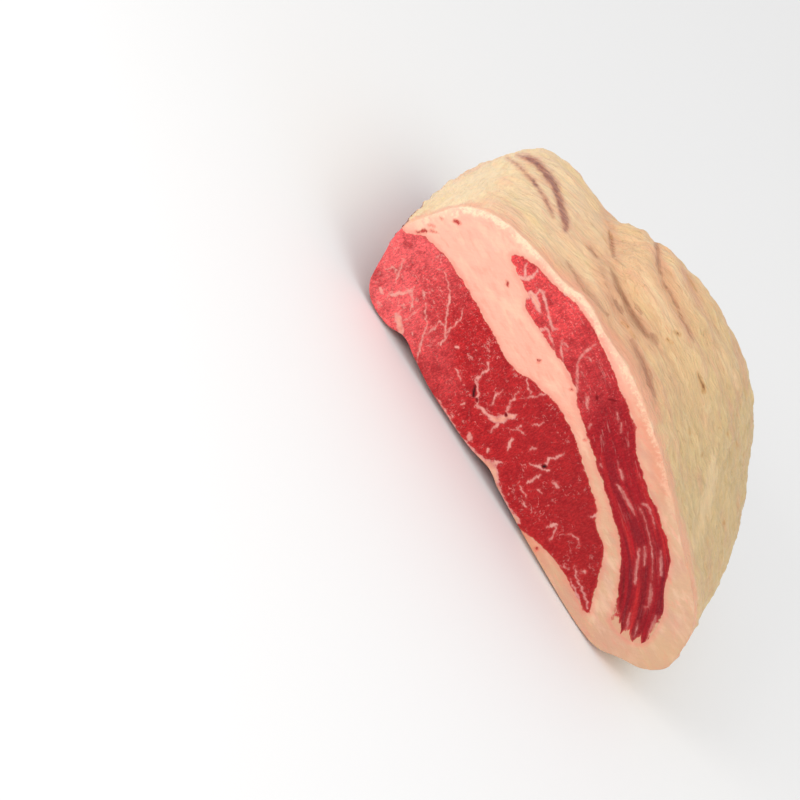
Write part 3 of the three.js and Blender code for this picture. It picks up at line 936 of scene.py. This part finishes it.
    # Away from the cut a thin brownish skin and patches of silvery fat cover the muscle.
    skin_noise = paint.along_skin((40, 16, 14), detail=4, rough=0.56, offset=(6, 0, 0))
    skin = paint.ramp(skin_noise, [
        (0.3, tint(122, 34, 36)), (0.48, tint(150, 58, 50)), (0.62, tint(182, 98, 82)), (0.78, tint(214, 158, 130))])
    fibre = paint.along_skin((22, 1.8, 2.0), detail=3, rough=0.6, offset=(3, 3, 3))
    silver = paint.step(fibre * 0.7 + skin_noise, 0.98, 1.14)
    strayed = paint.step(paint.field("seam") - paint.stray(), 1.2, -1.2)
    colour = paint.lay(
        paint.darken(skin, 0.7 + fibre * 0.6),
        (silver * 0.45, tint(228, 190, 168)),
        (strayed, paint.mix(fibre, tint(226, 174, 138), tint(246, 208, 168))),
        (cut, lean))

    sheen = paint.noise(2.6, detail=3, rough=0.6, offset=(2, 2, 2))
    roughness = 0.24 + sheen * 0.3 + paint.math("MAXIMUM", vein, seam) * 0.1
    height = (fine_grain * 0.3 + ends * 0.22 - 0.26) * cut * coarse + vein * 0.16
    height = height - paint.step(hole, -0.4, 0.4) * 0.7
    height = height + (fibre * 0.8 + skin_noise * 0.8 - 0.8) * (1 - cut) + blotches * 0.7 + sheen * 0.25
    if streaky:
        height = height + (streaks * 0.8 + fine_streaks * 0.22) * (0.25 + narrow * 0.75)
    return paint.finish(colour, roughness, height, gloss=0.16, coat=0.1, scatter=0.08, scatter_mm=0.8)


def fat_material(faces, caps):
    """Fat: pink and smooth where it is cut, cream and streaky on the cap with painted shade in its folds and painted
    highlights on its ridges, and a pale line along the cut edge that is partly a painted highlight.

    faces and caps are the colours of the cut and of the cap, (thick end, middle, narrow end).
    """
    paint = Paint("fat")
    x, z = paint.axis("X"), paint.axis("Z")
    rim = paint.field("rim")
    ragged = paint.noise(2.2, detail=4, rough=0.72, offset=(5, 1, 1)) - 0.5
    wander = paint.noise(11, detail=2, offset=(2, 2, 9)) - 0.5
    slow_wander = paint.noise(30, detail=1, offset=(2, 5, 9)) - 0.5
    end_to_end = paint.end_to_end()

    # The cut through the fat: pink and smooth at the thick end, creamier at the narrow end.
    drift = (paint.noise(34, detail=2) - 0.5) * 0.2
    face = paint.ramp(end_to_end + drift, [(0.0, faces[0]), (0.38, faces[1]), (0.7, faces[2]), (1.0, faces[2])])
    smear = paint.noise((13, 4, 4.5), detail=5, rough=0.62, offset=(8, 2, 2), distortion=0.4)
    slanted = paint.node(
        "ShaderNodeVectorRotate", {"rotation_type": "Y_AXIS"}, {"Vector": paint.mm, "Angle": math.radians(50)})
    scrapes = paint.noise((14, 4, 1.3), detail=3, rough=0.6, vector=slanted, offset=(2, 0, 5))
    grit = paint.noise(0.8, detail=2, rough=0.7, offset=(1, 1, 6))
    face = paint.darken(face, 0.82 + smear * 0.17 + scrapes * 0.1 + grit * 0.09)
    veils = paint.step(paint.noise((10, 4, 3.2), detail=4, rough=0.6, offset=(1, 6, 4)), 0.5, 0.7)
    creamy = paint.step(paint.noise((18, 4, 7), detail=4, rough=0.6, offset=(4, 1, 1)), 0.48, 0.66)
    glassy = paint.step(paint.noise((26, 4, 10), detail=3, rough=0.6, offset=(3, 3, 7)) + end_to_end * 0.3, 0.68, 0.86)
    freckle = paint.step(paint.noise(1.5, detail=2, rough=0.6, offset=(7, 4, 2)) + (veils - 0.5) * 0.05, 0.7, 0.8)
    seam_depth = paint.field("seam") + paint.border()
    near_lean = paint.step(seam_depth + (smear - 0.5) * 3, 4.0, 0.0)
    rosy_rim = paint.step(rim + wander * 8, -13, -2) * paint.step(x, -10, 20) * paint.step(x, 72, 44)
    spot = paint.field("spot") + ragged * 0.8
    face = paint.lay(
        face,
        (veils * 0.4, tint(246, 152, 132)),
        (creamy * 0.5, tint(250, 210, 180)),
        (glassy * 0.45, tint(214, 158, 138)),
        (freckle * 0.4, tint(232, 110, 98)),
        (paint.step(x + drift * 40, 116, 142) * 0.5, tint(218, 178, 136)),
        (near_lean * 0.42, tint(240, 134, 120)),
        (rosy_rim * 0.55, tint(236, 140, 108)),
        (paint.step(seam_depth, 0.25, -0.4) * paint.step(x, 106, 98) * 0.85, tint(196, 44, 46)),
        (paint.step(spot, -1.3, 0.1) * 0.5, tint(238, 92, 76)),
        (paint.step(spot, -0.2, 0.5) * 0.9, tint(184, 14, 16)))

    # The cap: cream, with soft patches and streaks along the piece, browner in its folds, where painted shade darkens
    # it further.
    bend = paint.vector("ADD", paint.mm, paint.vector(
        "MULTIPLY", paint.node("ShaderNodeCombineXYZ", inputs={0: 0.0, 1: slow_wander, 2: slow_wander}), (0, 9, 7)))
    long_streaks = paint.along_skin((38, 4.2, 6), bend, detail=4, rough=0.6, offset=(3, 9, 1))
    fine_streaks = paint.along_skin((16, 1.3, 2), bend, detail=3, rough=0.62, offset=(7, 2, 6))
    membrane = paint.along_skin((13, 3.6, 4.6), bend, detail=5, rough=0.62, offset=(1, 5, 5), distortion=0.15)
    threads = paint.along_skin((11, 0.8, 1.1), bend, detail=2, rough=0.7, offset=(4, 4, 1))
    cap = paint.ramp(
        end_to_end + (membrane - 0.5) * 0.3, [(0.0, caps[0]), (0.35, caps[1]), (0.7, caps[2]), (1.0, caps[2])])
    yellow = paint.step(paint.along_skin((60, 19, 24), bend, detail=5, rough=0.56, offset=(1, 1, 8)), 0.46, 0.62)
    pinkish = paint.step(paint.along_skin((55, 15, 20), bend, detail=5, rough=0.58, offset=(4, 7, 2)), 0.49, 0.66)
    cap = paint.lay(
        cap,
        (yellow * 0.5, paint.mix(end_to_end, tint(250, 214, 156), tint(226, 196, 142))),
        (pinkish * 0.5, paint.mix(end_to_end, tint(250, 186, 152), tint(222, 172, 136))))
    cap = paint.darken(cap, 0.45 + membrane * 0.24 + long_streaks * 0.3 + fine_streaks * 0.3 + threads * 0.28)
    # painted highlights on the ridges of the cap, broken up along its streaks
    ridge = paint.field("ridge") + (long_streaks - 0.5) * 10 + (fine_streaks - 0.5) * 8
    gleam = paint.step(long_streaks + (membrane - 0.5) * 0.6, 0.55, 0.7)
    hair = paint.noise((34, 5, 8), detail=1, rough=0.4, vector=bend, offset=(6, 6, 0))
    hair_line = paint.step(paint.math("ABSOLUTE", hair - 0.5), 0.022, 0.0)
    hair_line = hair_line * paint.step(paint.noise((18, 9, 12), detail=2, offset=(0, 3, 3)), 0.5, 0.66)

    # Its folds, brown and darkened with painted shade, its creases, drawn as dark lines of painted shade and brown, the
    # meaty strips on its thick end and its brown marks, each with a paler border.
    broken = paint.along_skin((14, 9, 9), bend, detail=4, rough=0.66, offset=(8, 3, 5)) - 0.5
    groove = paint.field("groove") - 0.6 + broken * 14 + (membrane - 0.5) * 8 + (fine_streaks - 0.5) * 8
    in_thread = paint.step(fine_streaks + (threads - 0.5) * 0.6, 0.38, 0.62)
    crease = paint.field("crease") - 0.2 + broken * 6 + (fine_streaks - 0.5) * 7 + (membrane - 0.5) * 4
    strip = paint.field("strip") + (paint.noise(5.5, detail=4, rough=0.66) - 0.5) * 7.0
    fibres = paint.noise((7, 3, 2.2), detail=3, rough=0.6, vector=bend)
    meaty = paint.ramp(fibres, [(0.3, tint(112, 58, 62)), (0.5, tint(158, 92, 80)), (0.7, tint(214, 152, 122))])
    mark = paint.field("mark") + ragged * 1.6

    # A pale, ragged line follows the cut edge, partly the fat's own pale edge and partly a painted highlight, only
    # along the upper part of the edge; a peach-coloured band lies behind it.
    cut = paint.step(rim + ragged * 1.4, 0.5, -0.1)
    warm_rim = paint.step(x, 30, -20) * paint.step(x, -110, -70) * paint.step(rim + wander * 16, 30, 8)
    lit_rim = paint.step(x, 30, 110) * paint.step(rim + wander * 16, 26, 4)
    peach = paint.step(rim + ragged * 14 + wander * 16 + (long_streaks - 0.5) * 14, 16, 2.0)
    strayed = paint.step(paint.field("seam") + paint.stray(), 1.2, -1.2) * paint.step(z, 62, 54)
    nibbled = paint.noise(6, detail=3, rough=0.6, offset=(9, 1, 4)) - 0.5
    pale_edge_and_highlight = paint.step(paint.math("ABSOLUTE", rim + 1.1 + ragged * 5 + nibbled * 8 + wander * 4), 4.0, 0.4)
    pale_edge_and_highlight = pale_edge_and_highlight * (0.3 + paint.step(wander + ragged * 1.4, -0.16, 0.12) * 0.7)
    pale_edge_and_highlight = pale_edge_and_highlight * paint.step(z, 46, 66) * paint.step(x, 110, -10) * 1.1
    under = paint.step(z, 10.0, 2.0) * (1 - cut)  # the piece lies on its lean side

    colour = paint.lay(
        cap,
        # painted highlights on the ridges
        (paint.step(ridge, -5, 4) * 0.5, tint(255, 222, 176)),
        (gleam * 0.35, paint.mix(end_to_end, tint(255, 228, 184), tint(240, 212, 160))),
        (hair_line * 0.3, tint(176, 122, 84)),
        # the folds: a paler brown border, then brown deepened by painted shade
        (paint.step(groove, -8, 2) * 0.4, tint(226, 156, 124)),
        (paint.step(groove, -1, 7) * 0.42, paint.mix(in_thread, tint(140, 88, 60), tint(214, 156, 118))),
        # the creases: a paler border, then dark lines of brown and painted shade
        (paint.step(crease, -2.6, 0.8) * 0.28, tint(206, 132, 98)),
        (paint.step(crease, -0.2, 2.0) * 0.6, tint(140, 78, 50)),
        (paint.step(strip, -3.2, 1.6) * 0.5, tint(216, 140, 114)),
        (paint.step(strip, -0.4, 3.4) * 0.85, meaty),
        (paint.step(mark, -1.8, 0.4) * 0.4, tint(206, 142, 62)),
        (paint.step(mark, -0.1, 1.4) * 0.8, tint(132, 76, 26)),
        (warm_rim * 0.4, tint(222, 150, 114)),
        (lit_rim * 0.5, tint(250, 204, 158)),
        (peach * 0.74, tint(252, 178, 146)),
        (strayed * paint.step(rim, 1.5, 9), paint.mix(fine_streaks, tint(120, 40, 38), tint(178, 92, 74))),
        (cut, face),
        # the pale edge line, partly painted highlight
        (pale_edge_and_highlight * 0.85, paint.mix(end_to_end, tint(255, 234, 200), tint(255, 206, 170))),
        (under * 0.55, tint(196, 138, 112)))

    roughness = 0.36 + fine_streaks * 0.24 - cut * 0.06
    height = (long_streaks * 2.2 + fine_streaks * 0.9 + membrane * 1.7 + threads * 0.3 - 2.5) * (1 - cut) + grit * 0.12
    height = height + (smear * 0.7 + scrapes * 0.25 - 0.45) * cut + pale_edge_and_highlight * ragged * 0.8
    height = height - paint.step(spot, -0.4, 0.5) * 0.6 - paint.step(crease, -1.8, 1.2) * 1.3 * (1 - cut)
    return paint.finish(colour, roughness, height, gloss=0.3, coat=0.12, scatter=0.16, scatter_mm=2.0)


# ---- properties ----
class BrisketSizes(bpy.types.PropertyGroup):
    points_around: IntProperty(
        name="Points around", description="Points round the outline of the piece", default=500, min=60, max=600)
    rows_back: IntProperty(
        name="Rows back", description="Rows from the cut face to the far end", default=140, min=20, max=200)
    wrinkle_height: FloatProperty(
        name="Wrinkle height", description="Height of the low wrinkles of the skin", default=1.0 * MM,
        min=0, max=3 * MM, unit="LENGTH", precision=4)
    lean_grid: FloatProperty(
        name="Lean grid", description="Grid of points on the cut through the muscles", default=0.6 * MM,
        min=0.4 * MM, max=4 * MM, unit="LENGTH", precision=4)
    fat_grid: FloatProperty(
        name="Fat grid", description="Grid of points on the cut through the fat", default=1.0 * MM,
        min=0.6 * MM, max=4 * MM, unit="LENGTH", precision=4)


def colour_property(label, description, default):
    return FloatVectorProperty(
        name=label, description=description, subtype="COLOR", size=4, min=0, max=1, default=default)


class BrisketColours(bpy.types.PropertyGroup):
    cut_thick: colour_property("Cut fat, thick end", "Fat on the cut face at the thick end", tint(255, 188, 165))
    cut_middle: colour_property("Cut fat, middle", "Fat on the cut face in the middle", tint(255, 184, 160))
    cut_narrow: colour_property("Cut fat, narrow end", "Fat on the cut face at the narrow end", tint(222, 178, 143))
    cap_thick: colour_property("Cap, thick end", "Outer fat at the thick end", tint(255, 224, 181))
    cap_middle: colour_property("Cap, middle", "Outer fat in the middle", tint(242, 194, 148))
    cap_narrow: colour_property("Cap, narrow end", "Outer fat at the narrow end", tint(224, 192, 140))
    flat_pale: colour_property("Flat muscle, thick end", "Cut flat muscle at the thick end", tint(255, 104, 106))
    flat_middle: colour_property("Flat muscle, middle", "Cut flat muscle in the middle", tint(200, 30, 36))
    flat_dark: colour_property("Flat muscle, narrow end", "Cut flat muscle at the narrow end", tint(160, 18, 24))
    point_pale: colour_property("Point muscle, thick end", "Cut point muscle at the thick end", tint(240, 76, 78))
    point_middle: colour_property("Point muscle, middle", "Cut point muscle in the middle", tint(170, 8, 26))
    point_dark: colour_property("Point muscle, narrow end", "Cut point muscle at the narrow end", tint(142, 2, 22))


def chosen(*keys):
    colours = bpy.context.scene.brisket_colours
    return [tuple(getattr(colours, key)) for key in keys]


def front_strokes(x, y, z, strokes, high=0.0):
    """How far the points on the cut face lie inside the strokes, mm; high is how uneven the strokes come out."""
    if high:
        x, z = unsteady(x, z, high)
    return np.where(y < ON_FRONT, inside_strokes(x, z, strokes_on_cut(strokes)), -FAR)


def cap_fields(x, y, z, facing):
    """How far the points lie inside the strokes on the cap, where these are seen in the picture."""
    px, py = in_picture(x, y, z)
    on_cap = (y > 1) & (z > 40)
    seen = smoothstep(facing, -0.16, 0.04)
    made = {}
    for name, strokes, reach in (
            ("strip", CAP_STRIPS, 6), ("groove", CAP_GROOVE_BROWN_AND_SHADE, 14), ("crease", CAP_CREASE_LINES_AND_SHADE, 5),
            ("ridge", CAP_PAINTED_HIGHLIGHTS, 8), ("mark", CAP_FLECKS, 4)):
        inside = (inside_strokes(px, py, strokes.values(), reach) + reach) * seen - reach
        made[name] = np.where(on_cap, inside, -reach)
    return made


def streamline(x, z, middle):
    """How far each point lies along a line on the cut face and to its side, mm; the line is in pixels."""
    line = smooth_curve([on_cut(px, py) for px, py in middle], closed=False)
    steps = np.diff(line, axis=0)
    lengths = np.hypot(steps[:, 0], steps[:, 1])
    starts = np.concatenate([[0], np.cumsum(lengths)[:-1]])
    nearest = np.full(len(x), np.inf)
    along, across = np.zeros(len(x)), np.zeros(len(x))
    for (ax, az), (dx, dz), length, start in zip(line, steps, lengths, starts):
        t = np.clip(((x - ax) * dx + (z - az) * dz) / length ** 2, 0, 1)
        away = np.hypot(x - ax - t * dx, z - az - t * dz)
        closer = away < nearest
        side = np.sign((x - ax) * dz - (z - az) * dx)
        nearest = np.where(closer, away, nearest)
        along = np.where(closer, start + t * length, along)
        across = np.where(closer, side * away, across)
    return {"along": along, "across": across}


# ---- operators ----
class OBJECT_OT_brisket_fat(bpy.types.Operator):
    """Builds the fat: the cap, the seam between the muscles and the edges, with room for both muscles"""
    bl_idname = "object.brisket_fat"
    bl_label = "Fat"

    def execute(self, context):
        cuts = [muscle_tube("flat_room", FLAT_OUTLINE, FLAT_END), muscle_tube("point_room", POINT_OUTLINE, POINT_END)]
        bm = with_cuts(whole_body("whole"), cuts, "DIFFERENCE")
        slice_front(bm, context.scene.brisket_sizes.fat_grid)
        edge = outline(CUT_OUTLINE, EDGE_POINTS)

        def fields(x, y, z, facing):
            on_front = y < ON_FRONT
            rim = y.copy()
            rim[on_front] -= np.minimum(distance_to(x[on_front], z[on_front], edge), RIM_INSET)
            return {"rim": rim, "spot": front_strokes(x, y, z, FAT_SPOTS, 0.6), **cap_fields(x, y, z, facing)}

        faces = chosen("cut_thick", "cut_middle", "cut_narrow")
        caps = chosen("cap_thick", "cap_middle", "cap_narrow")
        piece_from(bm, "fat_cap_and_seam", "fat", fat_material(faces, caps), fields)
        return {"FINISHED"}


def build_muscle(name, node, points, end, veins, holes, material, middle=None):
    """Builds one muscle; the streaks of its material run along the middle line, where it has one."""
    bm = with_cuts(whole_body(name + "_whole"), [muscle_tube(name + "_room", points, end)], "INTERSECT")
    slice_front(bm, bpy.context.scene.brisket_sizes.lean_grid)

    def fields(x, y, z, _facing):
        made = {
            "vein": front_strokes(x, y, z, veins, 0.25 if middle else 0.6),
            "hole": front_strokes(x, y, z, holes),
        }
        return {**made, **streamline(x, z, middle)} if middle else made

    piece_from(bm, name, node, material, fields)


class OBJECT_OT_brisket_flat(bpy.types.Operator):
    """Builds the big flat muscle along the underside"""
    bl_idname = "object.brisket_flat"
    bl_label = "Flat muscle"

    def execute(self, context):
        material = lean_material(
            "flat muscle", chosen("flat_pale", "flat_middle", "flat_dark"), 0.15, chosen("cut_middle", "cut_narrow"),
            streaky=False)
        build_muscle("flat_muscle_meat", "flat_muscle", FLAT_OUTLINE, FLAT_END, FLAT_VEINS, FLAT_HOLES, material)
        return {"FINISHED"}


class OBJECT_OT_brisket_point(bpy.types.Operator):
    """Builds the streaky point muscle under the cap"""
    bl_idname = "object.brisket_point"
    bl_label = "Point muscle"

    def execute(self, context):
        material = lean_material(
            "point muscle", chosen("point_pale", "point_middle", "point_dark"), 0.31,
            chosen("cut_middle", "cut_narrow"), streaky=True)
        build_muscle(
            "point_muscle_meat", "point_muscle", POINT_OUTLINE, POINT_END, POINT_VEINS, POINT_HOLES, material,
            POINT_MIDDLE)
        return {"FINISHED"}


def area_light(name, location, aim, size, watts, colour=(1, 1, 1)):
    data = bpy.data.lights.new(name, "AREA")
    data.shape = "DISK"
    data.size = size
    data.energy = watts
    data.color = colour
    lamp = bpy.data.objects.new(name, data)
    bpy.context.scene.collection.objects.link(lamp)
    lamp.location = location
    lamp.rotation_euler = (Vector(aim) - Vector(location)).to_track_quat("-Z", "Y").to_euler()


class SCENE_OT_brisket_stage(bpy.types.Operator):
    """Adds the pale floor, the soft light and the camera"""
    bl_idname = "scene.brisket_stage"
    bl_label = "Stage"

    def execute(self, context):
        scene = context.scene
        bm = bmesh.new()
        bmesh.ops.create_grid(bm, x_segments=1, y_segments=1, size=FLOOR_HALF)
        floor = to_object(bm, "floor")
        floor.location.z = -FLOOR_DROP
        paint = Paint("floor white")
        soft = paint.noise(600, detail=1)
        paint.finish(paint.darken(tint(250, 250, 250), 0.985 + soft * 0.03), roughness=0.8, height=0.0)
        floor.data.materials.append(paint.material)

        world = bpy.data.worlds.new("soft white room")
        world.use_nodes = True
        world.node_tree.nodes["Background"].inputs["Color"].default_value = (1, 1, 1, 1)
        world.node_tree.nodes["Background"].inputs["Strength"].default_value = ROOM_LIGHT
        scene.world = world
        thick_end = Vector((-0.10, CUT_PLANE, 0.05))
        key = thick_end + TO_CAMERA * 0.95 - RIGHT * 0.28 + UP * 0.5
        area_light("key", key, (-0.02, CUT_PLANE, 0.05), size=0.5, watts=3.8, colour=(1.0, 0.985, 0.96))
        fill = Vector((0.1, CUT_PLANE, 0.05)) + TO_CAMERA * 1.2 + RIGHT * 1.0
        area_light("fill", fill, (0, 0, 0.06), size=0.9, watts=2.4)

        data = bpy.data.cameras.new("camera")
        data.lens = LENS
        data.sensor_width = SENSOR
        camera = bpy.data.objects.new("camera", data)
        scene.collection.objects.link(camera)
        turned = Matrix((RIGHT, UP, TO_CAMERA)).transposed()
        camera.matrix_world = Matrix.Translation(EYE) @ turned.to_4x4()
        scene.camera = camera
        scene.view_settings.view_transform = "Standard"
        scene.view_settings.look = "None"
        return {"FINISHED"}


class VIEW3D_PT_brisket(bpy.types.Panel):
    """Lists the steps that build the brisket"""
    bl_label = "Raw brisket half"
    bl_idname = "VIEW3D_PT_brisket"
    bl_space_type = "VIEW_3D"
    bl_region_type = "UI"
    bl_category = "Brisket"

    def draw(self, context):
        layout = self.layout
        for group in (context.scene.brisket_sizes, context.scene.brisket_colours):
            for key in group.bl_rna.properties.keys():
                if key not in {"rna_type", "name"}:
                    layout.prop(group, key)
        for step in (OBJECT_OT_brisket_fat, OBJECT_OT_brisket_flat, OBJECT_OT_brisket_point, SCENE_OT_brisket_stage):
            layout.operator(step.bl_idname)


CLASSES = (
    BrisketSizes, BrisketColours, OBJECT_OT_brisket_fat, OBJECT_OT_brisket_flat, OBJECT_OT_brisket_point,
    SCENE_OT_brisket_stage, VIEW3D_PT_brisket)


def register():
    for made in CLASSES:
        bpy.utils.register_class(made)
    bpy.types.Scene.brisket_sizes = PointerProperty(type=BrisketSizes)
    bpy.types.Scene.brisket_colours = PointerProperty(type=BrisketColours)


def unregister():
    del bpy.types.Scene.brisket_colours
    del bpy.types.Scene.brisket_sizes
    for made in reversed(CLASSES):
        bpy.utils.unregister_class(made)


def main():
    register()
    bpy.ops.object.brisket_fat()
    bpy.ops.object.brisket_flat()
    bpy.ops.object.brisket_point()
    bpy.ops.scene.brisket_stage()
    bpy.context.view_layer.update()


if __name__ == "__main__":
    main()
